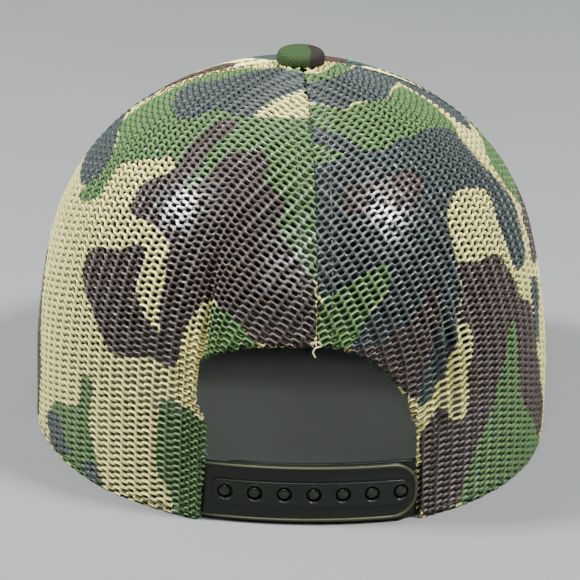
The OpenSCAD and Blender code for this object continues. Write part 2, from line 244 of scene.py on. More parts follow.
def knit_material():
    """Printed knit: glossy on the raised cords and dull beside the holes; the print is darkened by painted
    shade down beside the holes and brightened by a painted highlight on the cords' crests.
    """
    n = Nodes("camo_knit", 0.36)
    n.bsdf.inputs["Specular IOR Level"].default_value = 0.5
    high = n.ramp(n.attribute("cord"), -0.1, 0.4)
    crest = n.ramp(n.attribute("cord"), 0.50, 0.575)
    # painted shade and highlight from the cords' heights: dark beside the holes, mid-toned on the cords'
    # sides, brighter than the print on the crests
    painted_shade_and_highlight = n.mix(high, (0.15, 0.155, 0.14, 1), (0.42, 0.42, 0.38, 1))
    painted_shade_and_highlight = n.mix(crest, painted_shade_and_highlight, (1.3, 1.3, 1.24, 1))
    inked = {0: 1.0, 6: camo_colour(n), 7: painted_shade_and_highlight}
    n.colour(n.add("Mix", inked, data_type="RGBA", blend_type="MULTIPLY").outputs[2])
    yarn = n.math("ADD", n.noise(1900.0, 2.0), n.math("MULTIPLY", n.noise(520.0, 2.0), 0.6))
    dull = n.math("MULTIPLY", n.math("SUBTRACT", 1.0, crest), 0.4)
    uneven = n.math("MULTIPLY", n.noise(700.0), 0.3)
    n.put(n.bsdf.inputs["Roughness"], n.math("ADD", n.math("ADD", uneven, 0.02), dull))
    n.bump(yarn, 0.00012, 0.7)
    # the flattened crests shine together where the wall itself faces a lamp
    patchy = n.ramp(n.noise(420.0, 2.0), 0.40, 0.60)
    shiny = n.math("ADD", n.math("MULTIPLY", crest, 0.55), n.math("MULTIPLY", high, 0.4))
    n.put(n.bsdf.inputs["Coat Weight"], n.math("MULTIPLY", shiny, patchy))
    n.bsdf.inputs["Coat Roughness"].default_value = 0.2
    n.put(n.bsdf.inputs["Coat Normal"], n.attribute("wall", "Vector"))
    return n.mat


def weave(n, pitch, strength, diagonal=True):
    """Twill lines, or a plain over-and-under weave, from the cloth's own coordinates in millimetres."""
    at = n.attribute("cloth", "Vector")
    xyz = n.add("SeparateXYZ", {0: at}).outputs
    k = 2 * math.pi / pitch
    if diagonal:
        slant = n.math("ADD", xyz[0], xyz[1])
        high = n.math("SINE", n.math("MULTIPLY", slant, k))
    else:
        high = n.math("MULTIPLY", n.math("SINE", n.math("MULTIPLY", xyz[0], k)),
                      n.math("SINE", n.math("MULTIPLY", xyz[1], k)))
    rough = n.math("MULTIPLY", n.noise(1500.0, 2.0), 0.8)
    n.bump(n.math("ADD", high, rough), 0.00008, strength)


def twill_material(name, darkening):
    n = Nodes(name, 0.82)
    n.bsdf.inputs["Specular IOR Level"].default_value = 0.2
    # the print is mixed towards near black by darkening: a slight overall darkening on the front and visor,
    # and painted shade over most of the button
    n.colour(n.mix(darkening, camo_colour(n), (0.005, 0.006, 0.005, 1)))
    weave(n, 0.75, 0.8)
    return n.mat


def cotton_material(name, colour, pitch=0.9, diagonal=False):
    n = Nodes(name, 0.9)
    n.bsdf.inputs["Sheen Weight"].default_value = 0.2
    dirt = n.ramp(n.noise(120.0, 5.0), 0.3, 0.8)
    n.colour(n.mix(n.math("MULTIPLY", dirt, 0.35), colour, tuple(0.6 * c for c in colour[:3]) + (1,)))
    weave(n, pitch, 0.9, diagonal)
    return n.mat


def foam_material():
    n = Nodes("foam", 0.95)
    cells = n.add("TexVoronoi", {"Vector": n.place(), "Scale": 900.0}).outputs["Distance"]
    n.colour(n.mix(n.ramp(cells, 0.0, 0.8), srgb(84, 88, 84), srgb(112, 116, 110)))
    n.bump(cells, 0.0003, 0.8)
    return n.mat


def strap_material():
    """Moulded olive plastic, paler on the marked raised parts: the bead round the hole strap, and the pegs,
    whose paleness is a painted highlight.
    """
    n = Nodes("snap_plastic", 0.3)
    n.bsdf.inputs["Specular IOR Level"].default_value = 0.32
    uneven = n.ramp(n.noise(90.0, 4.0), 0.3, 0.75)
    field = n.mix(n.math("MULTIPLY", uneven, 0.5), srgb(13, 18, 12), srgb(20, 26, 18))
    # the 'edge' attribute pales the bead, and on the pegs it is a painted highlight
    n.colour(n.mix(n.ramp(n.attribute("edge"), 0.2, 1.0), field, srgb(50, 54, 34)))
    n.put(n.bsdf.inputs["Roughness"], n.math("ADD", 0.2, n.math("MULTIPLY", n.noise(400.0, 4.0), 0.3)))
    n.bump(n.noise(1400.0, 3.0), 0.00002, 0.6)
    return n.mat


def board_material(name, colour):
    n = Nodes(name)
    uneven = n.ramp(n.noise(90.0, 4.0), 0.3, 0.75)
    n.colour(n.mix(n.math("MULTIPLY", uneven, 0.3), colour, tuple(1.5 * c for c in colour[:3]) + (1,)))
    n.put(n.bsdf.inputs["Roughness"], n.ramp(n.noise(400.0, 4.0), -0.9, 2.2))
    n.bump(n.noise(1400.0, 3.0), 0.00002, 0.6)
    return n.mat


def metal_material():
    n = Nodes("pressed_steel", 0.35, Metallic=1.0)
    n.colour(n.mix(n.ramp(n.noise(300.0), 0.3, 0.7), srgb(150, 150, 148), srgb(185, 185, 182)))
    n.bump(n.noise(900.0), 0.00002, 0.5)
    return n.mat


def thread_material(name, colour):
    n = Nodes(name, 0.55)
    twist = n.add("TexWave", {"Vector": n.place(), "Scale": 900.0, "Distortion": 2.0}).outputs[1]
    n.colour(n.mix(n.math("MULTIPLY", twist, 0.4), colour, tuple(0.5 * c for c in colour[:3]) + (1,)))
    n.bump(twist, 0.00006, 0.8)
    return n.mat


MATERIALS = {
    "knit": knit_material(),
    "twill": twill_material("camo_twill", 0.1),
    # the button's twill is darkened by painted shade
    "button": twill_material("button_twill_painted_shade", 0.82),
    "foam": foam_material(),
    "tape": cotton_material("tape_cotton", srgb(44, 48, 42), 1.0, True),
    "band": cotton_material("sweatband_cotton", srgb(50, 55, 50), 0.8, True),
    "label": cotton_material("label_satin", srgb(214, 212, 204), 0.5),
    "strap": strap_material(),
    "board": board_material("visor_board", srgb(205, 205, 198)),
    "metal": metal_material(),
    "dark_thread": thread_material("dark_thread", srgb(38, 50, 34)),
    "tan_thread": thread_material("tan_thread", srgb(190, 176, 130)),
}


# ---------------------------------------------------------------- camouflage
# Printed blotches of the mesh, as outlines of (degrees from the back seam, millimetres up the crown from the
# hem), each smoothed at its corners. A later one covers an earlier one. The ground colour is tan.
# Most of these points were not placed by hand: they were picked on the photo by eye and turned into degrees
# and millimetres by another program. See report.md, "Rule not met".
PRINT_LEFT = [
    ("green", (104, 147), (101, 132), (102, 122), (100, 111), (82, 110), (76, 102), (79, 93), (80, 86),
     (68, 92), (69, 97), (70, 105), (66, 109), (56, 115), (48, 119), (46, 108), (40, 97), (30, 97),
     (14, 100), (7, 91), (4, 78), (0, 79), (-5, 151), (-6, 181), (89, 165)),
    ("brown", (34, 142), (43, 139), (44, 133), (46, 128), (46, 122), (45, 118), (47, 113), (51, 109),
     (54, 105), (54, 100), (54, 95), (50, 94), (44, 95), (40, 93), (36, 90), (36, 81), (36, 75), (36, 69),
     (34, 59), (31, 52), (30, 53), (29, 59), (28, 69), (24, 78), (21, 73), (17, 69), (15, 66), (12, 63),
     (6, 63), (0, 62), (0, 83), (4, 91), (7, 96), (10, 102), (8, 109), (7, 112), (12, 116), (16, 117),
     (14, 126), (18, 130), (24, 129), (30, 126), (32, 120), (34, 114), (36, 109), (40, 108), (38, 116),
     (37, 124), (36, 130), (33, 136)),
    ("brown", (58, 81), (61, 78), (62, 71), (60, 65), (54, 59), (52, 55), (49, 51), (46, 49), (40, 51),
     (37, 53), (32, 51), (30, 52), (29, 58), (34, 60), (39, 65), (42, 70), (43, 77), (42, 83), (44, 87),
     (46, 87), (50, 84), (52, 82)),
    ("green", (24, 76), (21, 73), (18, 70), (15, 66), (13, 64), (12, 59), (16, 56), (22, 54), (26, 52),
     (24, 61), (24, 69)),
    ("tan", (28, 143), (26, 149), (22, 154), (16, 158), (5, 162), (-12, 164), (-5, 147), (10, 146),
     (19, 145)),
    ("dark", (-44, 174), (58, 175), (74, 165), (78, 157), (86, 148), (96, 142), (98, 137), (90, 134),
     (79, 131), (66, 130), (58, 133), (54, 138), (50, 142), (38, 143), (29, 143), (28, 147), (25, 154),
     (16, 159), (2, 164), (-15, 166)),
    ("green", (70, 19), (64, 22), (60, 23), (57, 26), (57, 33), (56, 37), (54, 38), (52, 35), (53, 30),
     (54, 22), (52, 15), (51, 10), (49, 4), (48, 0), (55, 0), (64, 1), (72, 2), (74, 8)),
    ("dark", (75, 12), (68, 16), (65, 13), (63, 9), (61, 3), (67, 1), (73, 2)),
    ("dark", (56, 5), (53, 9), (50, 7), (50, 1), (54, 0)),
    ("green", (34, 39), (30, 41), (29, 40), (26, 38), (25, 36), (22, 35), (21, 32), (22, 26), (22, 15),
     (22, 0), (26, 0), (30, 1), (30, 5), (31, 10), (34, 12), (34, 22), (34, 33)),
    ("brown", (82, 0), (108, 0), (108, 60), (96, 64), (88, 62), (84, 50), (82, 40), (81, 20)),
    ("green", (86, 37), (92, 34), (108, 42), (108, 56), (94, 58), (88, 54)),
    ("dark", (110, 112), (98, 112), (84, 109), (78, 106), (76, 101), (76, 96), (80, 91), (87, 90),
     (94, 92), (110, 92)),
]
PRINT_RIGHT = [
    ("green", (-104, 180), (112, 168), (102, 160), (66, 164), (40, 165), (16, 168), (-10, 168)),
    ("dark", (78, 164), (110, 157), (117, 144), (97, 142), (78, 147), (58, 146), (40, 150), (29, 152),
     (20, 149), (13, 152), (6, 155), (-7, 155), (-10, 168), (24, 168), (42, 166)),
    ("green", (-7, 153), (7, 154), (14, 151), (22, 149), (29, 151), (44, 149), (58, 146), (76, 146),
     (92, 142), (89, 137), (86, 131), (81, 125), (76, 121), (70, 119), (63, 125), (54, 129), (45, 129),
     (36, 131), (29, 129), (24, 129), (19, 130), (16, 134), (11, 138), (4, 141), (-6, 142)),
    ("dark", (-6, 142), (4, 142), (8, 139), (14, 138), (16, 134), (20, 130), (24, 129), (30, 129),
     (36, 132), (44, 130), (54, 130), (66, 126), (72, 122), (68, 113), (68, 103), (71, 95), (72, 89),
     (70, 85), (67, 79), (65, 74), (60, 71), (57, 74), (56, 83), (56, 89), (58, 95), (60, 101), (52, 105),
     (44, 106), (39, 102), (37, 96), (36, 88), (36, 77), (34, 66), (32, 58), (29, 50), (26, 43), (22, 39),
     (23, 46), (14, 63), (7, 62), (8, 67), (10, 70), (12, 74), (15, 78), (17, 82), (18, 86), (17, 89),
     (11, 86), (5, 81), (1, 79), (-4, 81)),
    ("green", (-6, 135), (3, 134), (7, 132), (12, 129), (8, 127), (4, 126), (-6, 124)),
    ("green", (1, 79), (4, 81), (7, 83), (10, 85), (14, 88), (17, 89), (18, 87), (18, 83), (16, 80),
     (13, 76), (11, 72), (10, 68), (7, 63), (5, 62), (1, 63), (0, 67), (0, 74)),
    ("brown", (7, 113), (10, 118), (15, 117), (20, 118), (24, 118), (30, 121), (34, 119), (36, 115),
     (33, 110), (30, 107), (26, 104), (22, 104), (17, 104), (12, 106), (9, 106), (7, 109)),
    ("brown", (14, 63), (16, 66), (19, 68), (22, 70), (24, 74), (26, 78), (28, 80), (30, 79), (30, 76),
     (30, 71), (28, 65), (26, 58), (24, 53), (23, 45), (22, 42), (18, 49), (14, 55), (10, 58), (6, 62),
     (10, 63)),
    ("brown", (-4, 82), (0, 79), (1, 77), (0, 73), (0, 67), (1, 62), (-4, 60)),
    ("brown", (36, 85), (40, 83), (44, 82), (48, 82), (53, 80), (54, 76), (56, 70), (57, 63), (63, 60),
     (64, 53), (66, 41), (68, 29), (76, 13), (75, 4), (70, 3), (62, 16), (56, 26), (54, 39), (54, 50),
     (53, 59), (50, 55), (49, 49), (46, 41), (44, 32), (41, 26), (38, 17), (36, 9), (34, 0), (30, 0),
     (24, 0), (24, 14), (23, 29), (24, 33), (26, 37), (28, 39), (30, 36), (32, 32), (34, 31), (36, 35),
     (36, 42), (36, 51), (38, 59), (36, 64), (35, 65), (34, 66), (36, 75)),
    ("green", (53, 59), (50, 55), (49, 49), (46, 41), (44, 32), (41, 26), (38, 17), (36, 9), (34, 0),
     (40, 0), (47, 0), (56, 0), (66, 0), (74, 1), (66, 11), (61, 20), (56, 26), (54, 39), (54, 50)),
    ("dark", (65, 66), (72, 64), (72, 58), (69, 49), (68, 40), (65, 46), (64, 53)),
    ("green", (108, 112), (84, 108), (76, 106), (72, 102), (72, 96), (75, 90), (78, 86), (84, 88),
     (108, 90)),
    ("brown", (108, 90), (84, 89), (77, 86), (72, 82), (72, 76), (69, 69), (75, 66), (84, 64), (108, 62)),
    ("dark", (110, 150), (98, 148), (92, 138), (88, 126), (84, 116), (90, 112), (110, 112)),
    ("green", (88, 52), (96, 30), (108, 24), (108, 52), (98, 60)),
]
INKS = ("tan", "green", "brown", "dark")


def overprint(count, layers):
    """For each ink, how far inside its printed area each point lies, in millimetres, after every layer."""
    field = {ink: np.full(count, -50.0) for ink in INKS}
    field["tan"] += 100
    for ink, inside in layers:
        for other in INKS:
            if other == ink:
                field[other] = np.maximum(field[other], inside)
            else:
                field[other] = np.minimum(field[other], 0.25 - inside)
    return field


def inside_chain(points, chain):
    """How far inside a chain of thick rounded strokes, given as (x, y, z, radius), the points lie."""
    inside = np.full(len(points), -50.0)
    for a, b in zip(chain[:-1], chain[1:]):
        start, run = np.array(a[:3]), np.array(b[:3]) - np.array(a[:3])
        t = np.clip((points - start) @ run / max(run @ run, 1e-6), 0, 1)
        far = np.linalg.norm(points - start - t[:, None] * run, axis=1)
        inside = np.maximum(inside, a[3] + (b[3] - a[3]) * t - far)
    return inside


def paint(points, prints):
    ragged = points + 1.9 * np.stack([wobble(points, 7.0, k) for k in (1, 2, 3)], -1)
    ragged = ragged + 0.9 * np.stack([wobble(points, 3.0, k) for k in (4, 5, 6)], -1)
    return overprint(len(points), [(ink, inside_chain(ragged, chain)) for ink, *chain in prints])


def rounded(outline):
    """The outline with its corners cut."""
    loop = np.array(outline, float)
    after = np.roll(loop, -1, axis=0)
    return np.stack([0.75 * loop + 0.25 * after, 0.25 * loop + 0.75 * after], 1).reshape(-1, 2)


def inside_outline(phi, arc, wide, outline):
    """How far inside an outline points of the crown lie; wide is the length of a degree at each of them."""
    loop = rounded(outline)
    nearest = np.full(len(phi), 1e6)
    crossed = np.zeros(len(phi), bool)
    for a, b in zip(loop, np.roll(loop, -1, axis=0)):
        ax, ay = (a[0] - phi) * wide, a[1] - arc
        rx, ry = (b[0] - a[0]) * wide, b[1] - a[1]
        t = np.clip(-(ax * rx + ay * ry) / np.maximum(rx * rx + ry * ry, 1e-9), 0, 1)
        nearest = np.minimum(nearest, (ax + t * rx) ** 2 + (ay + t * ry) ** 2)
        spans = (ay > 0) != (ay + ry > 0)
        crossed ^= spans & (ax - ay * rx / (ry if ry else 1e-9) > 0)
    return np.where(crossed, 1, -1) * np.sqrt(nearest)


def paint_crown(phi, arc, points, prints):
    wide = MEAN_R * DEG * np.maximum(share_at(arc), 0.06)
    phi = phi + 0.9 * wobble(points, 5.0, 1) / wide
    arc = arc + 0.9 * wobble(points, 5.0, 2)
    layers = [(ink, inside_outline(phi, arc, wide, outline)) for ink, *outline in prints]
    return overprint(len(phi), layers)


def scattered(place, across, up, step, seed, thick):
    """A made-up print of short bent chains on a jittered grid; place(a, b) gives the points in space."""
    draw = np.random.default_rng(seed)
    prints = []
    a, b = np.meshgrid(np.arange(*across, step[0]), np.arange(*up, step[1]))
    spots = np.stack([a.ravel(), b.ravel()], -1)
    for k, spot in enumerate(draw.permutation(spots)):
        spot = spot + draw.uniform(-0.4, 0.4, 2) * step
        turn = draw.uniform(0, math.pi) + draw.normal(0, 0.5, 3).cumsum()
        path = spot + np.stack([np.cos(turn), np.sin(turn)], -1).cumsum(0) * np.array(step) * 0.34
        chain = [(*place(p, q), draw.uniform(*thick)) for p, q in path]
        prints.append((("green", "brown", "tan", "dark", "green", "brown", "dark")[k % 7], *chain))
    return prints


def front_point(phi, z):
    return crown(phi, np.clip(z, 2, 127), 0.0)


def visor_point(x, y):
    return x, y, float(visor_z(x, y))


def store_print(obj, field):
    for ink in INKS[1:]:
        layer = obj.data.attributes.new("camo_" + ink, "FLOAT", "POINT")
        layer.data.foreach_set("value", field[ink].astype(np.float32))


def camo_attributes(obj, prints):
    """Stores the printed fields on the vertices, in millimetres."""
    me = obj.data
    co = np.empty(len(me.vertices) * 3, np.float32)
    me.vertices.foreach_get("co", co)
    store_print(obj, paint(co.reshape(-1, 3).astype(float) / MM, prints))


# ------------------------------------------------------------- mesh builders
def build(name, verts, faces, material, body="cap", cloth=None, uv=None, replaces=(), slot=None):
    """A smooth-shaded object from points in millimetres, riding on a body of the frame."""
    me = bpy.data.meshes.new(name)
    me.from_pydata((np.asarray(verts, float) * MM).tolist(), [], [list(map(int, f)) for f in faces])
    me.update()
    me.validate()
    me.polygons.foreach_set("use_smooth", [True] * len(me.polygons))
    me.materials.append(MATERIALS[material])
    if cloth is not None:
        layer = me.attributes.new("cloth", "FLOAT_VECTOR", "POINT")
        layer.data.foreach_set("vector", np.asarray(cloth, np.float32).ravel())
    if uv is not None:
        loops = np.empty(len(me.loops), np.int32)
        me.loops.foreach_get("vertex_index", loops)
        layer = me.uv_layers.new(name="OFBake")
        layer.data.foreach_set("uv", np.asarray(uv, np.float32)[loops].ravel())
    obj = bpy.data.objects.new(name, me)
    bpy.context.scene.collection.objects.link(obj)
    if body:
        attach(obj, body)
    if replaces:
        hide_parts(*replaces)
    return obj


def grid_of(rows, cols):
    """Shares from 0 to 1 across and up a grid."""
    return np.meshgrid(np.linspace(0, 1, cols), np.linspace(0, 1, rows))


def ring_of(grid_shape):
    """Indices round the rim of a grid, in order."""
    nr, nc = grid_shape
    index = np.arange(nr * nc).reshape(nr, nc)
    return np.concatenate([index[0, :-1], index[:-1, -1], index[-1, :0:-1], index[:0:-1, 0]])


def sheet_faces(nr, nc, flip=False):
    i = np.arange(nr * nc).reshape(nr, nc)
    quads = np.stack([i[:-1, :-1], i[:-1, 1:], i[1:, 1:], i[1:, :-1]], -1).reshape(-1, 4)
    return quads[:, ::-1] if flip else quads


def cloth_sheet(name, outer, inner, cloth, material, **more):
    """A closed cloth piece between two grids of points, whose rim is rounded by a row half way."""
    nr, nc = outer.shape[:2]
    n = nr * nc
    rim = ring_of((nr, nc))
    middle = (outer.reshape(-1, 3)[rim] + inner.reshape(-1, 3)[rim]) / 2
    centre = outer.reshape(-1, 3).mean(0)
    verts = np.concatenate([outer.reshape(-1, 3), inner.reshape(-1, 3), middle])
    faces = [*sheet_faces(nr, nc, True), *sheet_faces(nr, nc) + n]
    for k in range(len(rim)):
        a, b = rim[k], rim[(k + 1) % len(rim)]
        m, o = 2 * n + k, 2 * n + (k + 1) % len(rim)
        faces += [(a, m, o, b), (m, a + n, b + n, o)]
    flat = cloth.reshape(-1, 2)
    flat = np.concatenate([flat, flat, flat[rim]])
    flat = np.concatenate([flat, np.zeros((len(flat), 1))], 1)
    return build(name, verts, faces, material, cloth=flat, **more)


def crown_patch(name, phi, z, depth, thick, material, puff=0.0, **more):
    """A cloth piece that follows the crown over grids of bearing and height."""
    u, v = grid_of(*phi.shape)
    swell = puff * np.clip(16 * u * (1 - u) * v * (1 - v), 0, 1) ** 0.4
    pinch = 0.25 * thick * (1 - np.clip(np.minimum.reduce([u, 1 - u, v, 1 - v]) * 30, 0, 1))
    outer = crown(phi, z, depth - swell + pinch)
    inner = crown(phi, z, depth + thick - swell - pinch)
    cloth = np.stack([phi * MEAN_R * DEG * np.maximum(share_at(arc_at(z)), 0.2), arc_at(z)], -1)
    return cloth_sheet(name, outer, inner, cloth, material, **more)


def stitches(name, lines, material, length=2.7, gap=0.7, radius=0.24):
    """Sewn threads along lines of (points, outward directions).

    Each stitch is a short thread that dips in at both ends."""
    verts, faces = [], []
    sides = 6
    around = [(math.cos(2 * math.pi * k / sides), math.sin(2 * math.pi * k / sides)) for k in range(sides)]
    for points, outward in lines:
        points, outward = np.asarray(points, float), np.asarray(outward, float)
        run = np.concatenate([[0], np.cumsum(np.linalg.norm(np.diff(points, axis=0), axis=1))])
        for start in np.arange(0.2, run[-1] - length, length + gap):
            base = len(verts)
            spots = start + length * np.array([0, 0.12, 0.5, 0.88, 1.0])
            lifts = np.array([-0.9, 0.1, 0.75, 0.1, -0.9]) * radius
            p = np.stack([np.interp(spots, run, points[:, k]) for k in range(3)], -1)
            up = np.stack([np.interp(spots, run, outward[:, k]) for k in range(3)], -1)
            up /= np.linalg.norm(up, axis=1)[:, None]
            along = p[-1] - p[0]
            across = np.cross(along, up[2])
            across /= np.linalg.norm(across)
            for q, n, lift in zip(p, up, lifts):
                for c, s in around:
                    verts.append(q + n * (lift + radius * s) + across * radius * c)
            for i in range(4):
                for k in range(sides):
                    a, b = base + i * sides + k, base + i * sides + (k + 1) % sides
                    faces.append((a, b, b + sides, a + sides))
    return build(name, verts, faces, material)


def crown_line(phi, z, depth=0.0):
    """Points on the crown and their outward directions, for stitching."""
    phi, z = np.broadcast_arrays(np.asarray(phi, float), np.asarray(z, float))
    p = crown(phi, z, depth)
    return p, crown(phi, z, depth - 1.0) - p


# ------------------------------------------------------------ the knitted mesh
WALE, COURSE = 3.05, 2.28
PANEL_MIDDLE = 52.0
CREASE_TOP = 105.0
HOLE_W, HOLE_H = 0.92, 0.72
FOLD_IN = 1.2


def slopes(side, phi):
    """How far the knit's columns lean, its courses slope and its spacing widens near the back seam."""
    if side > 0:
        near = 1 - smooth((phi - 18.5) / 11)
        return 0.30 * near, 0.05 + 0.47 * near, 1 - 0.20 * near
    near = 1 - smooth((phi - 3) / 60)
    return 0.20 * (1 - smooth(phi / 80)), 0.50 * near, 1 - 0.12 * near


_phi_table = np.linspace(-30, 140, 1701)


def knit_tables(side):
    lean, slope, spread = slopes(side, _phi_table)
    step = np.diff(_phi_table, prepend=_phi_table[0]) * MEAN_R * DEG
    rise, width = np.cumsum(slope * step), np.cumsum(spread * step)
    middle = np.searchsorted(_phi_table, PANEL_MIDDLE)
    return lean, rise - rise[middle], width - width[middle]


def knit_flat(tables, phi, arc):
    """The knit's own flat coordinates, in millimetres, of points of the crown."""
    lean, rise, width = (np.interp(phi, _phi_table, t) for t in tables)
    share = np.maximum(share_at(arc), 0.02)
    below = 7 * np.log1p(np.exp(np.clip((CREASE_TOP - arc) / 7, -30, 30)))
    across = share * width - np.minimum(below, 50) * lean
    return across, arc - share * rise


def knit_place(side, u, v):
    """Bearing and arc of points given in the knit's flat coordinates, found by Newton's method."""
    tables = knit_tables(side)
    arc = np.clip(v, -8, _arc[-1] - 2)
    phi = np.clip(PANEL_MIDDLE + u / (MEAN_R * DEG * np.maximum(share_at(arc), 0.3)), -20, 130)
    for _ in range(24):
        a, b = knit_flat(tables, phi, arc)
        ap, bp = knit_flat(tables, phi + 0.2, arc)
        aa, ba = knit_flat(tables, phi, arc + 0.2)
        j11, j12, j21, j22 = (ap - a) / 0.2, (aa - a) / 0.2, (bp - b) / 0.2, (ba - b) / 0.2
        det = j11 * j22 - j12 * j21
        det = np.where(np.abs(det) < 0.05, 0.05, det)
        ru, rv = u - a, v - b
        phi = np.clip(phi + np.clip((ru * j22 - rv * j12) / det, -6, 6), -28, 138)
        arc = np.clip(arc + np.clip((rv * j11 - ru * j21) / det, -8, 8), -12, _arc[-1] - 0.5)
    a, b = knit_flat(tables, phi, arc)
    return phi, arc, np.hypot(u - a, v - b) < 0.2


def folds(side, phi, z):
    """How far the fabric is dented in, by creases at the arch's corners and by handling."""
    across = (phi - (24.6 if side > 0 else 31.0)) * MEAN_R * DEG
    if side > 0:
        tall = smooth((z - 48) / 12) * (1 - smooth((z - 74) / 26))
        dent = 2.6 * np.exp(-((across / 1.7) ** 2)) - 1.0 * np.exp(-(((across - 7) / 5) ** 2))
        dent = dent * tall
    else:
        tall = smooth((z - 26) / 14) * (1 - smooth((z - 58) / 20))
        dent = 1.7 * np.cos(across * 1.05 + (z - 40) * 0.05) * np.exp(-((across / 9) ** 2)) * tall
        dent = dent + 1.8 * np.exp(-(((phi - 92) / 24) ** 2) - ((z - 58) / 24) ** 2)
    p = crown(side * phi, z, 0.0)
    return dent + 0.35 * wobble(p, 22.0, 11) + 0.18 * wobble(p, 9.0, 12)


def knit_cells(side, shift):
    """Flat coordinates of the cells' middles that may lie on one half."""
    cols = np.arange(-40, 44)
    rows = np.arange(-12, 110)
    i, j = np.meshgrid(cols, rows)
    u = (i + shift) * WALE
    v = (j + 0.5 * (i % 2) + shift) * COURSE
    return u.ravel(), v.ravel(), (i % 2).ravel()


CELL_RIM = [(1, 1), (1.14, 0.5), (1.32, 0), (1.14, -0.5), (1, -1),
            (-1, -1), (-1.14, -0.5), (-1.32, 0), (-1.14, 0.5), (-1, 1)]
CELL_W = WALE / 2.32
CORD, WEB, HOLE_EDGE = 0.56, -0.26, -0.32
LOW_LINKS = {0: (3, 6), 1: (1, 8)}


def cell_lifts(odd):
    """Height of each rim point: the cords run high over the corners, and two of the links are low."""
    lift = np.full(len(CELL_RIM), CORD)
    lift[list(LOW_LINKS[odd])] = WEB
    return lift


def knit_layer(side, keep, depth, shift=0.0):
    """Bearings, arcs, depths, heights in the knit and faces of one layer. keep(phi, z) picks cells."""
    u, v, odd = knit_cells(side, shift)
    phi, arc, good = knit_place(side, u, v)
    good &= keep(phi, height_at(arc))
    u, v, odd = u[good], v[good], odd[good]
    n, m = len(u), len(CELL_RIM)
    rim = np.array(CELL_RIM) * [CELL_W, COURSE / 2]
    turn = np.arctan2(rim[:, 1] / HOLE_H, rim[:, 0] / HOLE_W)
    size = 1 + 0.07 * np.random.default_rng(21 + side).normal(size=n)
    hole = np.stack([HOLE_W * np.cos(turn), HOLE_H * np.sin(turn) - 0.06], -1)
    hole = hole[None] * np.clip(size, 0.8, 1.2)[:, None, None]
    at = np.stack([u, v], -1)[:, None]
    rings = [at + rim[None], at + rim[None] * 0.5 + hole * 0.5, at + hole]
    crest = np.stack([cell_lifts(0), cell_lifts(1)])[odd]
    lifts = [crest, crest * 0.86 - 0.02, np.full((n, m), HOLE_EDGE)]
    flat = np.concatenate([r.reshape(-1, 2) for r in rings])
    lift = np.concatenate([np.ravel(lift) for lift in lifts])
    key = np.round(flat * 40).astype(int)
    _, first, back = np.unique(key, axis=0, return_index=True, return_inverse=True)
    back = back.reshape(-1)
    flat, lift = flat[first], lift[first]
    uneven = np.random.default_rng(31 + side).normal(size=(len(flat), 3))
    flat = flat + 0.035 * uneven[:, :2]
    lift = lift + 0.03 * uneven[:, 2]
    i = np.arange(m * n).reshape(n, m)
    nxt = np.roll(i, -1, axis=1)
    quads = []
    for ring in (0, 1):
        o, p = ring * m * n, (ring + 1) * m * n
        quads.append(np.stack([i + o, i + p, nxt + p, nxt + o], -1).reshape(-1, 4))
    quads = back[np.concatenate(quads)]
    phi, arc, _ = knit_place(side, flat[:, 0], flat[:, 1])
    return phi, arc, depth - lift, lift, quads


def trim(side, phi, arc, depth):
    """Brings vertices back to the panel's edges and rolls the cloth in along them."""
    arc = np.maximum(arc, 0.0)
    z = height_at(arc)
    gap, near = arch_gap(side, phi, z)
    out = gap < 0
    phi, z = np.where(out, near[:, 0], phi), np.where(out, near[:, 1], z)
    low, high = 0.02, SEAM_FRONT - 0.12
    phi = np.clip(phi, low, high)
    share = np.maximum(share_at(arc_at(z)), 0.05)
    seam = np.minimum(phi - low, high - phi) * share * MEAN_R * DEG
    reach = np.minimum.reduce([np.maximum(gap, 0), z, seam * 2.5])
    t = 1 - np.clip(reach / FOLD_IN, 0, 1)
    depth = depth + np.where(seam < 1, 0.12, 1.0) * (1 - np.sqrt(np.maximum(1 - t * t, 0)))
    return phi, z, depth


def tidy_faces(points, quads):
    """Drops faces that the trimming has flattened to nothing."""
    p = points[quads]
    area = np.linalg.norm(np.cross(p[:, 2] - p[:, 0], p[:, 3] - p[:, 1]), axis=1)
    quads = quads[area > 0.004]
    used, back = np.unique(quads, return_inverse=True)
    return used, back.reshape(-1, 4)


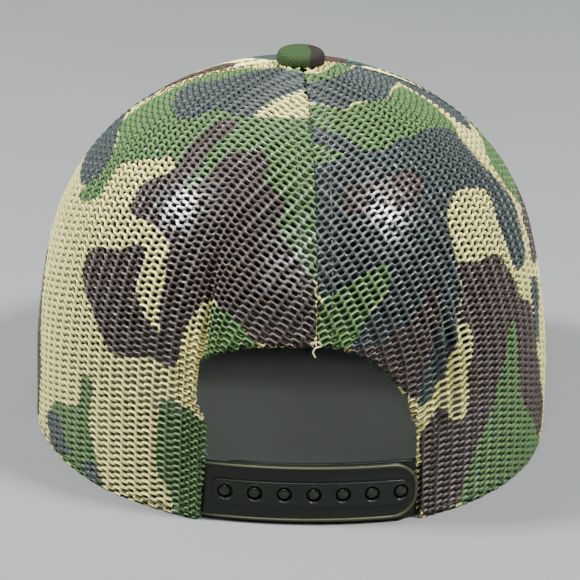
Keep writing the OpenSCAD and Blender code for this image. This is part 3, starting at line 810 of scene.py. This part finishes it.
def mesh_half(side):
    """One half of the knitted back, from seam to seam, with its edge at the arch turned in."""
    def whole(phi, z):
        gap, _ = arch_gap(side, phi, z)
        radius = share_at(arc_at(np.maximum(z, 0))) * MEAN_R
        return (phi > -0.9) & (phi < SEAM_FRONT - 0.4) & (z > 0.5) & (gap > 0.3) & (radius > 4.5)

    def turned(phi, z):
        gap, _ = arch_gap(side, phi, z)
        beside = (gap > 0.2) & (gap < 7.5) & (phi > 0.4) & (z > 0.5)
        return beside & (phi < 60)

    verts, faces, coords, heights, spots, count = [], [], [], [], [], 0
    for k, (keep, depth, shift) in enumerate([(whole, 0.25, 0.0), (turned, 1.05, 0.37)]):
        phi, arc, deep, lift, quads = knit_layer(side, keep, depth, shift)
        phi, z, deep = trim(side, phi, arc, deep)
        deep = deep + folds(side, phi, z)
        points = crown(side * phi, z, deep)
        used, quads = tidy_faces(points, quads)
        verts.append(points[used])
        heights.append(lift[used])
        spots.append(np.stack([phi[used], arc_at(z[used])], -1))
        faces.append((quads[:, ::-1] if side < 0 else quads) + count)
        # each layer has its own part of the UV square
        top = 0.86
        u, v = phi[used] / SEAM_FRONT, arc_at(z[used]) / _arc[-1] * top
        if k:
            u, v = u * 0.9, top + 0.01 + v * 0.13 / top
        coords.append(np.stack([u * 0.99 + 0.005, v * 0.99 + 0.005], -1))
        count += len(used)
    name = "mesh_left" if side > 0 else "mesh_right"
    node = "mesh_panel_left" if side > 0 else "mesh_panel_right"
    obj = build(name, np.concatenate(verts), np.concatenate(faces), "knit",
                uv=np.concatenate(coords), replaces=[node], slot="mesh")
    phi, arc = np.concatenate(spots).T
    prints = PRINT_LEFT if side > 0 else PRINT_RIGHT
    store_print(obj, paint_crown(phi, arc, np.concatenate(verts), prints))
    layer = obj.data.attributes.new("cord", "FLOAT", "POINT")
    layer.data.foreach_set("value", np.concatenate(heights).astype(np.float32))
    z = height_at(arc)
    outward = crown(side * phi, z, -1.0) - crown(side * phi, z, 0.0)
    outward /= np.linalg.norm(outward, axis=1)[:, None]
    layer = obj.data.attributes.new("wall", "FLOAT_VECTOR", "POINT")
    layer.data.foreach_set("vector", outward.astype(np.float32).ravel())
    return obj


# ------------------------------------------------------------- sewn crown parts
BAND_START = 26.0
TAPE_HALF_W, TAPE_TOP = 6.5, 126.0


def seam_tape(name, node, seam, low):
    u, v = grid_of(60, 9)
    top = arc_at(TAPE_TOP)
    z = height_at(arc_at(low) + v * (top - arc_at(low)))
    half = TAPE_HALF_W / (np.maximum(share_at(arc_at(z)), 0.1) * MEAN_R * DEG)
    phi = seam + (2 * u - 1) * half
    crown_patch(name, phi, z, 1.35, 0.45, "tape", replaces=[node], slot="tape")


def inner_band(name, node, low, high, depth, thick, material, slot, puff=0.0):
    """A band inside the hem, from one side of the arch round to the other."""
    u, v = grid_of(26, 260)
    phi = BAND_START + u * (360 - 2 * BAND_START)
    z = hem_z(phi) + low + v * (high - low)
    ripple = 0.12 * np.sin(phi * 1.7) + 0.1 * np.sin(phi * 0.61 + 1)
    return crown_patch(name, phi, z, depth + ripple * 0.5, thick, material, puff=puff,
                       replaces=[node], slot=slot)


def sewn_inside():
    seam_tape("back_seam_tape", "seam_tape_back", 0.0, 64.5)
    seam_tape("front_seam_tape_left", "seam_tape_front_left", SEAM_FRONT, 38.0)
    seam_tape("front_seam_tape_right", "seam_tape_front_right", -SEAM_FRONT, 38.0)
    inner_band("sweatband_cloth", "sweatband", 2, 34, 4.25, 0.8, "band", "sweatband", puff=0.35)
    inner_band("sweatband_padding", "sweatband_liner", 3, 32, 3.3, 0.7, "foam", "foam")
    u, v = grid_of(16, 12)
    crown_patch("label_blank", 52 + 12 * u, 8 + 22 * v, 5.3, 0.35, "label",
                replaces=["size_label"], slot="label")
    u, v = grid_of(70, 90)
    arc_top = arc_at(126.5)
    phi0 = SEAM_FRONT + u * (360 - 2 * SEAM_FRONT)
    low = arc_at(hem_z(phi0) + 4)
    z = height_at(low + v * (arc_top - low))
    inset = 8.0 / (np.maximum(share_at(arc_at(z)), 0.12) * MEAN_R * DEG)
    phi = SEAM_FRONT + inset + u * (360 - 2 * SEAM_FRONT - 2 * inset)
    crown_patch("foam_backing", phi, z, 1.15, 1.8, "foam", replaces=["front_foam"], slot="foam")


def front_face():
    u, v = grid_of(150, 170)
    phi = SEAM_FRONT + 0.15 + u * (360 - 2 * SEAM_FRONT - 0.3)
    low, top = arc_at(hem_z(phi)), arc_at(128.9)
    z = height_at(low + v * (top - low))
    obj = crown_patch("front_cloth", phi, z, 0.0, 0.8, "twill", puff=0.5,
                      replaces=["front_panel"], slot="twill")
    camo_attributes(obj, scattered(front_point, (100, 262), (4, 128), (16, 21), 5, (6.5, 13)))


def visor_grid(rows, cols, inset=0.0):
    """Plan of the visor: rows run out from the crown, columns run across."""
    u, v = grid_of(rows, cols)
    u = 2 * u - 1
    root = (180 - VISOR_SPAN * u) * DEG
    rx, ry = (HALF_W + 0.4) * np.sin(root), (HALF_L + 0.4) * np.cos(root)
    a = 80 * u * DEG
    ex = (VISOR_HALF_W - 0.6 - inset) * np.sign(u) * np.abs(np.sin(a)) ** (1 / 1.2)
    ey = VISOR_CORNER_Y - (VISOR_REACH - inset) * np.cos(a) ** (1 / 1.2)
    x, y = rx + (ex - rx) * v, ry + (ey - ry) * v
    return x, y, v


def visor():
    x, y, v = visor_grid(90, 130)
    base = visor_z(x, y)
    rows_of_thread = [0.30, 0.42, 0.54, 0.66, 0.78, 0.90]
    groove = sum(0.28 * np.exp(-(((v - r) / 0.008) ** 2)) for r in rows_of_thread)
    edge = smooth((v - 0.985) / 0.015)
    cloth = np.stack([x, y], -1)
    top = np.stack([x, y, base + 3.4 - groove - 1.0 * edge], -1)
    under_top = np.stack([x, y, base + 2.7 - 1.9 * edge], -1)
    cover = cloth_sheet("visor_top_cloth", top, under_top, cloth, "twill",
                        replaces=["visor_top_cover"], slot="twill")
    camo_attributes(cover, scattered(visor_point, (-85, 90), (-165, -20), (27, 24), 9, (7, 13)))
    low = np.stack([x, y, base + 0.7 + 0.1 * edge], -1)
    lowest = np.stack([x, y, base + 0.12 * groove + 0.001], -1)
    under = cloth_sheet("visor_under_cloth", low, lowest, cloth, "twill",
                        replaces=["visor_under_cover"], slot="twill")
    camo_attributes(under, scattered(visor_point, (-85, 90), (-165, -20), (27, 24), 10, (7, 13)))
    x, y, v = visor_grid(40, 60, 1.3)
    base = visor_z(x, y)
    cloth_sheet("visor_stiffener", np.stack([x, y, base + 2.6], -1), np.stack([x, y, base + 0.8], -1),
                np.stack([x, y], -1), "board", replaces=["visor_board"], slot="board")
    lines = []
    x, y, _ = visor_grid(400, 160)
    for r in rows_of_thread:
        k = int(r * 399)
        xs, ys = x[k, 3:-3], y[k, 3:-3]
        p = np.stack([xs, ys, visor_z(xs, ys) + 3.22], -1)
        lines.append((p, np.tile([0, 0, 1.0], (len(p), 1))))
    stitches("visor_stitching", lines, "dark_thread", length=2.8, gap=0.8, radius=0.22)


def lathe(profile, centre, segments, ripple=None):
    """Vertices and faces of a turned shape from (radius, height) points."""
    verts, faces = [], []
    n = len(profile)
    for k in range(segments):
        a = 2 * math.pi * k / segments
        for i, (r, h) in enumerate(profile):
            grow = 1 + (ripple(a, i / (n - 1)) if ripple else 0)
            x, y = centre[0] + r * grow * math.cos(a), centre[1] + r * grow * math.sin(a)
            verts.append((x, y, centre[2] + h))
    for k in range(segments):
        for i in range(n - 1):
            a, b = k * n + i, (k + 1) % segments * n + i
            faces.append((a, b, b + 1, a + 1))
    return verts, faces


def button():
    r, h = 8.2, 4.4
    steps = 22
    profile = [(0.001, h)]
    for i in range(1, steps + 1):
        a = (90 - 90 * i / steps) * DEG
        profile.append((r * math.cos(a) ** 0.42, h * (0.88 * math.sin(a) ** 0.5 + 0.12 * math.sin(a))))
    profile += [(r * 0.985, -0.25), (r * 0.93, -0.5), (r * 0.8, -0.35), (r * 0.72, 0.1)]
    centre = (0, -APEX_FORWARD, CROWN_H + 0.35)

    def pleats(a, t):
        return 0.010 * smooth((t - 0.55) * 3) * math.sin(14 * a) + 0.006 * math.sin(3 * a + 1)

    verts, faces = lathe(profile, centre, 96, pleats)
    verts = np.array(verts)
    cloth = np.concatenate([verts[:, :2], np.zeros((len(verts), 1))], 1)
    obj = build("button_cloth", verts, faces, "button", cloth=cloth, replaces=["button_cover"], slot="twill")
    c = np.array(centre)
    camo_attributes(obj, [("green", (*c, 30.0), (*(c + [1, 0, 0]), 30.0)),
                          ("brown", (*(c + [-10, 6, 2]), 8.0), (*(c + [-10, -8, 2]), 8.5))])
    for node in ("button_shell", "button_post", "button_washer"):
        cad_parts[node].data.materials.clear()
        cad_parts[node].data.materials.append(MATERIALS["metal"])


# ------------------------------------------------------------------ the straps
STRAP_X, STRAP_Y = -3.5, -50.28
PEG_R, HOLE_R = 138.0, 139.75
STRAP_LOW, STRAP_HIGH = 1.0, 21.0
STRAP_MID = (STRAP_LOW + STRAP_HIGH) / 2
SNAP_X, SNAP_PITCH, SNAPS = -0.8, 9.5, 7
FIRST_SNAP = SNAP_X - SNAP_PITCH * (SNAPS - 1) / 2


def circle(x, z, r, n):
    a = [360.0 * k / n * DEG for k in range(n)]
    return [(x + r * math.cos(t), z + r * math.sin(t)) for t in a]


def strap_outline(x_end, x_root, low, high, r, root_r=0.2):
    """A plate's outline, round at x_end and nearly square at x_root."""
    d = 1 if x_root > x_end else -1
    corners = [(x_end, low, r, 1, 1), (x_root, low, root_r, -1, 1),
               (x_root, high, root_r, -1, -1), (x_end, high, r, 1, -1)]
    loop = []
    for x, z, rad, sx, sz in corners:
        cx, cz = x + d * sx * rad, z + sz * rad
        first = math.atan2(0, -d * sx) if (sx, sz) in ((1, 1), (-1, -1)) else math.atan2(-sz, 0)
        last = math.atan2(-sz, 0) if (sx, sz) in ((1, 1), (-1, -1)) else math.atan2(0, -d * sx)
        if last - first > math.pi:
            last -= 2 * math.pi
        if first - last > math.pi:
            last += 2 * math.pi
        steps = 10 if rad > 1 else 3
        loop += [(cx + rad * math.cos(first + (last - first) * k / steps),
                  cz + rad * math.sin(first + (last - first) * k / steps)) for k in range(steps + 1)]
    return loop


def flat_part(loops, half_thick, bevel, level, filled=True, tube=0.0):
    """Points and faces of a plate with rounded edges, or of a round bead along one loop, lying flat."""
    curve = bpy.data.curves.new("flat", "CURVE")
    curve.dimensions = "2D" if filled else "3D"
    if filled:
        curve.fill_mode = "BOTH"
        curve.extrude = half_thick
    curve.bevel_depth = bevel if filled else tube
    curve.bevel_resolution = 3
    for loop in loops:
        spline = curve.splines.new("POLY")
        spline.points.add(len(loop) - 1)
        for point, (x, z) in zip(spline.points, loop):
            point.co = (x, z, 0, 1)
        spline.use_cyclic_u = True
    obj = bpy.data.objects.new("flat", curve)
    bpy.context.scene.collection.objects.link(obj)
    bpy.context.view_layer.update()
    me = bpy.data.meshes.new_from_object(obj.evaluated_get(bpy.context.evaluated_depsgraph_get()))
    bpy.data.objects.remove(obj)
    bm = bmesh.new()
    bm.from_mesh(me)
    bmesh.ops.remove_doubles(bm, verts=bm.verts, dist=0.001)
    xs = [v.co.x for v in bm.verts]
    for x in np.arange(math.floor(min(xs)) + 1.5, max(xs), 1.5):
        geom = bm.verts[:] + bm.edges[:] + bm.faces[:]
        bmesh.ops.bisect_plane(bm, geom=geom, plane_co=(x, 0, 0), plane_no=(1, 0, 0))
    bm.verts.index_update()
    verts = np.array([v.co for v in bm.verts])
    verts[:, 2] += level
    faces = [[v.index for v in f.verts] for f in bm.faces]
    bm.free()
    return verts, faces


def bend(verts, radius):
    """Wraps flat points (x, z, height) round the straps' own axis."""
    a = np.arcsin(np.clip((verts[:, 0] - STRAP_X) / radius, -1, 1))
    r = radius + verts[:, 2]
    return np.stack([STRAP_X + r * np.sin(a), STRAP_Y + r * np.cos(a), verts[:, 1]], -1)


def joined(parts):
    verts, faces, count = [], [], 0
    for v, f in parts:
        verts.append(np.asarray(v))
        faces += [[i + count for i in face] for face in f]
        count += len(v)
    return np.concatenate(verts), faces


def pale_bead_and_painted_peg_highlight(obj, count, start, amount):
    """Marks raised points that are drawn paler than the rest of the moulding; on the pegs this paleness is a
    painted highlight.
    """
    value = np.zeros(len(obj.data.vertices), np.float32)
    value[start : start + count] = amount
    layer = obj.data.attributes.new("edge", "FLOAT", "POINT")
    layer.data.foreach_set("value", value)


def turned_on(profile, x, z, segments=40):
    v, f = lathe(profile, (x, z, 0), segments)
    return np.array(v), f


def under_cloth(verts, sign, start=33.6):
    """Brings a strap's sewn end in under the mesh."""
    past = np.clip((verts[:, 0] * sign - start) / 4, 0, 1)
    verts[:, 2] = verts[:, 2] * (1 - 0.45 * past) - 0.7 * past
    return verts


def hole_strap():
    """The outer strap: a thin field between a raised rim and a raised rib with the holes."""
    holes = [circle(FIRST_SNAP + SNAP_PITCH * k, STRAP_MID, 2.7, 28) for k in range(SNAPS)]
    outline = strap_outline(-35.2, 41, STRAP_LOW, STRAP_HIGH, 8.6)
    field = flat_part([outline] + holes, 0.36, 0.12, -0.35)
    bead_line = strap_outline(-35.2 + 0.75, 45, STRAP_LOW + 0.75, STRAP_HIGH - 0.75, 7.8)
    bead_line = [(min(x, 41), z) for x, z in bead_line]
    bead = flat_part([bead_line], 0, 0, 0.12, filled=False, tube=0.62)
    rib_line = strap_outline(FIRST_SNAP - 3.7, -FIRST_SNAP + 2.2, STRAP_MID - 4, STRAP_MID + 4, 3.9, 1.2)
    rib = flat_part([rib_line] + holes, 0.45, 0.22, 0.18)
    lip = [(2.72, 0.5), (2.78, 0.86), (3.0, 0.96), (3.3, 0.9), (3.45, 0.7)]
    lips = [turned_on(lip, FIRST_SNAP + SNAP_PITCH * k, STRAP_MID) for k in range(SNAPS)]
    verts, faces = joined([field, bead, rib] + lips)
    verts = bend(under_cloth(verts, 1), HOLE_R)
    obj = build("hole_strap_moulding", verts, faces, "strap", body=None,
                replaces=["hole_strap", "hole_strap_root"], slot="snap_plastic")
    pale_bead_and_painted_peg_highlight(obj, len(bead[0]), len(field[0]), 1.0)
    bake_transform(obj)


def peg_strap():
    """The inner strap: a plain plate with a row of domed pegs."""
    outline = strap_outline(32, -41, STRAP_LOW, STRAP_HIGH, 8.6)
    plate = flat_part([outline], 0.42, 0.18, 0.0)
    peg = [(0.001, 2.62)]
    peg += [(1.95 * math.sin(15 * i * DEG), 1.85 + 0.77 * math.cos(15 * i * DEG)) for i in range(1, 7)]
    peg += [(1.95, 1.2), (1.95, 0.75), (2.15, 0.55)]
    pegs = [turned_on(peg, FIRST_SNAP + SNAP_PITCH * k, STRAP_MID, 32) for k in range(SNAPS)]
    verts, faces = joined([plate] + pegs)
    verts = bend(under_cloth(verts, -1), PEG_R)
    obj = build("peg_strap_moulding", verts, faces, "strap", body=None,
                replaces=["peg_strap", "peg_strap_root"], slot="snap_plastic")
    # the pegs are paled by a painted highlight
    pale_bead_and_painted_peg_highlight(obj, len(verts) - len(plate[0]), len(plate[0]), 0.45)
    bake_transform(obj)


# ------------------------------------------------------------------- stitching
def seam_stitches():
    z = height_at(np.linspace(arc_at(ARCH_TOP + 1), arc_at(127.6), 240))
    share = np.maximum(share_at(arc_at(z)), 0.08)
    off = 5.0 / (share * MEAN_R * DEG)
    stitches("back_seam_stitching", [crown_line(off, z, -0.1), crown_line(-off, z, -0.1)], "dark_thread")
    lines = []
    for sign in (1, -1):
        z = height_at(np.linspace(1.0, arc_at(127.4), 300))
        share = np.maximum(share_at(arc_at(z)), 0.08)
        for gap in (-4.0, 4.0):
            lines.append(crown_line(sign * (SEAM_FRONT + gap / (share * MEAN_R * DEG)), z, -0.3))
    stitches("front_seam_stitching", lines, "dark_thread")


def arch_stitches():
    lines = []
    for side in (1, -1):
        z = np.linspace(0.8, CORNER[side][1] + 2, 80)
        phi = arch_side(side, z) + 6.4 / (MEAN_R * DEG)
        lines.append(crown_line(side * phi, z, -0.15 + folds(side, phi, z)))
        z = np.linspace(0.8, CORNER[side][1] - 6, 80)
        phi = arch_side(side, z) + 1.6 / (MEAN_R * DEG)
        lines.append(crown_line(side * phi, z, -0.15 + folds(side, phi, z)))
    stitches("arch_stitching", lines, "dark_thread", radius=0.2)


def hem_stitches():
    phi = np.linspace(ARCH_FOOT + 2, 360 - ARCH_FOOT - 2, 900)
    line = crown_line(phi, hem_z(phi) + 2.6, -0.2)
    stitches("hem_stitching", [line], "dark_thread", length=2.4, radius=0.18)


def loose_thread(name, points, radius, material):
    """A cut end of sewing thread: a thin round strand through the points."""
    path = np.array(points, float)
    steps = np.linspace(0, len(path) - 1, 8 * len(path))
    path = np.stack([np.interp(steps, np.arange(len(path)), path[:, k]) for k in range(3)], -1)
    for _ in range(4):
        path[1:-1] = (path[:-2] + 2 * path[1:-1] + path[2:]) / 4
    along = np.gradient(path, axis=0)
    along /= np.linalg.norm(along, axis=1)[:, None]
    side = np.cross(along, [0.2, 1.0, 0.3])
    side /= np.linalg.norm(side, axis=1)[:, None]
    other = np.cross(along, side)
    turn = np.arange(6) * math.pi / 3
    around = np.cos(turn)[None, :, None] * side[:, None] + np.sin(turn)[None, :, None] * other[:, None]
    verts = (path[:, None] + radius * around).reshape(-1, 3)
    faces = []
    for i in range(len(path) - 1):
        for k in range(6):
            a, b = 6 * i + k, 6 * i + (k + 1) % 6
            faces.append((a, b, b + 6, a + 6))
    faces += [tuple(range(5, -1, -1)), tuple(range(6 * len(path) - 6, 6 * len(path)))]
    build(name, verts, faces, material)


def loose_threads():
    """Cut thread ends near where the photo shows them; their paths are made up."""
    def at(phi, z, out):
        return tuple(crown(phi, z, -out))

    knot = [at(0.8, 63.2, 0.3), at(1.4, 64.4, 0.9), at(-0.4, 64.6, 1.1), at(-1.1, 63.4, 0.9),
            at(0.4, 62.8, 1.2), at(0.9, 61.4, 1.0), at(0.3, 59.8, 0.8)]
    loose_thread("thread_knot", knot, 0.26, "tan_thread")
    loose_thread("thread_end_left", [at(22.9, 27.0, 0.2), at(21.6, 27.8, 0.9), at(20.9, 30.4, 0.8)],
                 0.14, "dark_thread")
    loose_thread("thread_end_left_low", [at(23.2, 25.0, 0.2), at(22.0, 24.2, 0.9), at(21.4, 25.6, 1.0)],
                 0.14, "dark_thread")
    loose_thread("thread_end_right", [at(-23.4, 17.0, 0.2), at(-22.2, 18.2, 0.8), at(-21.2, 18.0, 0.9)],
                 0.14, "dark_thread")


# --------------------------------------------------------- floor, light, camera
def stage():
    size = 3000
    verts = [(-size, -size, 0), (size, -size, 0), (size, size, 0), (-size, size, 0)]
    n = Nodes("floor_grey_painted_shadow", 0.9)
    # painted shadow: the floor is drawn dark within 55 mm of the middle, under the cap, and fades to an even
    # pale grey by 88 mm
    out = n.add("VectorMath", {0: n.place()}, operation="LENGTH").outputs["Value"]
    pale = n.mix(n.noise(6.0, 2.0), srgb(96, 100, 99), srgb(102, 106, 105))
    n.colour(n.mix(n.ramp(out, 0.055, 0.088), srgb(54, 58, 54), pale))
    MATERIALS["floor"] = n.mat
    floor = build("floor", verts, [(0, 1, 2, 3)], "floor", body=None)
    world = bpy.data.worlds.new("soft_surround")
    world.use_nodes = True
    world.node_tree.nodes["Background"].inputs[0].default_value = srgb(222, 226, 228)
    world.node_tree.nodes["Background"].inputs[1].default_value = 0.30
    bpy.context.scene.world = world
    for name, at, aim, size_m, watts in (
        ("left_softbox", (0.89, 0.02, 1.09), (0, 0, 0.09), 0.22, 55),
        ("right_softbox", (-0.66, 0.30, 1.16), (0, 0, 0.09), 0.22, 50),
        ("high_fill", (0.15, 1.0, 1.5), (0, 0, 0.06), 0.5, 25),
    ):
        light = bpy.data.lights.new(name, "AREA")
        light.shape = "SQUARE"
        light.size = size_m
        light.energy = watts
        lamp = bpy.data.objects.new(name, light)
        lamp.location = at
        lamp.rotation_euler = (Vector(aim) - Vector(at)).to_track_quat("-Z", "Y").to_euler()
        bpy.context.scene.collection.objects.link(lamp)


def camera():
    elevation, azimuth, distance, roll = 21.47 * DEG, 5.04 * DEG, 0.970, 1.87 * DEG
    towards = Vector((math.sin(azimuth) * math.cos(elevation), math.cos(azimuth) * math.cos(elevation),
                      math.sin(elevation)))
    place = Vector((0, 0, 0.056)) + distance * towards
    aim = Vector((0.0016, 0.0033, 0.0476))
    data = bpy.data.cameras.new("camera")
    data.lens = 173.0
    data.sensor_width = 36.0
    data.clip_start, data.clip_end = 0.05, 20
    cam = bpy.data.objects.new("camera", data)
    cam.location = place
    turn = (aim - place).to_track_quat("-Z", "Y").to_matrix().to_4x4() @ Matrix.Rotation(roll, 4, "Z")
    cam.rotation_euler = turn.to_euler()
    bpy.context.scene.collection.objects.link(cam)
    bpy.context.scene.camera = cam


camera()
stage()
mesh_half(1)
mesh_half(-1)
front_face()
sewn_inside()
visor()
button()
hole_strap()
peg_strap()
seam_stitches()
arch_stitches()
hem_stitches()
loose_threads()

bpy.context.view_layer.update()
